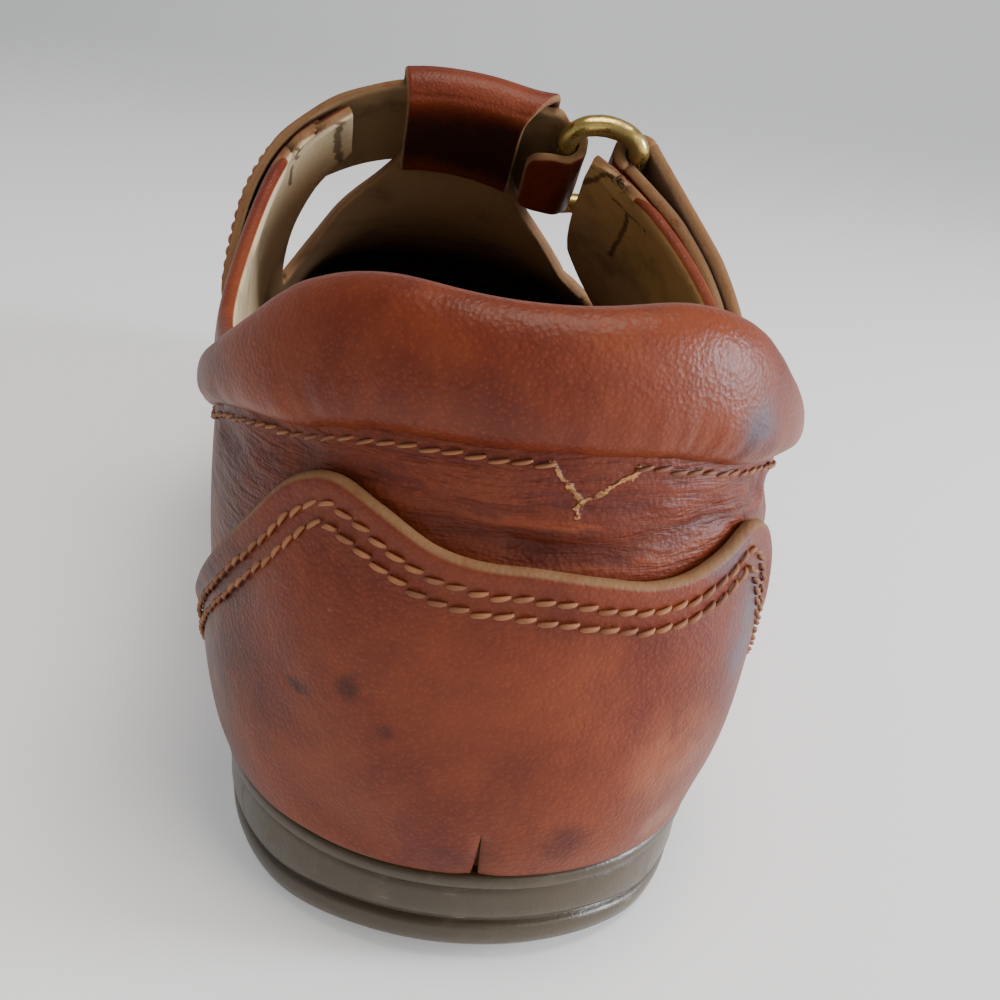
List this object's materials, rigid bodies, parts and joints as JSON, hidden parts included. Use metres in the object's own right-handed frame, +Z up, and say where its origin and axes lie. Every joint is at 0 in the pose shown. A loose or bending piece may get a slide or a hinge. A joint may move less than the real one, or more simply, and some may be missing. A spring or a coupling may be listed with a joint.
{
  "type": "fisherman sandal",
  "caption": "Closed-toe leather fisherman sandal: padded collar, T-bar sleeve over an instep strap, brass ring and a folded hook-and-loop strap on a moulded rubber sole.",
  "frame": {"origin": "on the floor, in the middle of the heel's tread", "axes": "+Z up from the floor, +Y from the heel to the toe, +X to the outer side of the right foot"},
  "size_m": [0.0975, 0.2779, 0.0993],
  "materials": {
    "outsole": "moulded taupe rubber, semi-gloss",
    "footbed": "dark worn leather",
    "upper": "red-brown pebbled leather, worn",
    "heel_counter": "red-brown pebbled leather, scuffed, raw cut edge",
    "t_bar_sleeve": "smooth brown leather, creased at the fold",
    "instep_strap": "brown leather, beige underneath",
    "closure_strap": "brown leather over hook and loop tape",
    "ring": "aged brass"
  },
  "bodies": {
    "root": {"outsole": "outsole", "footbed": "footbed", "upper": "upper", "heel_counter": "heel_counter", "t_bar_sleeve": "t_bar_sleeve", "instep_strap": "instep_strap", "closure_strap": "closure_strap", "ring": "ring"}
  },
  "joints": []
}
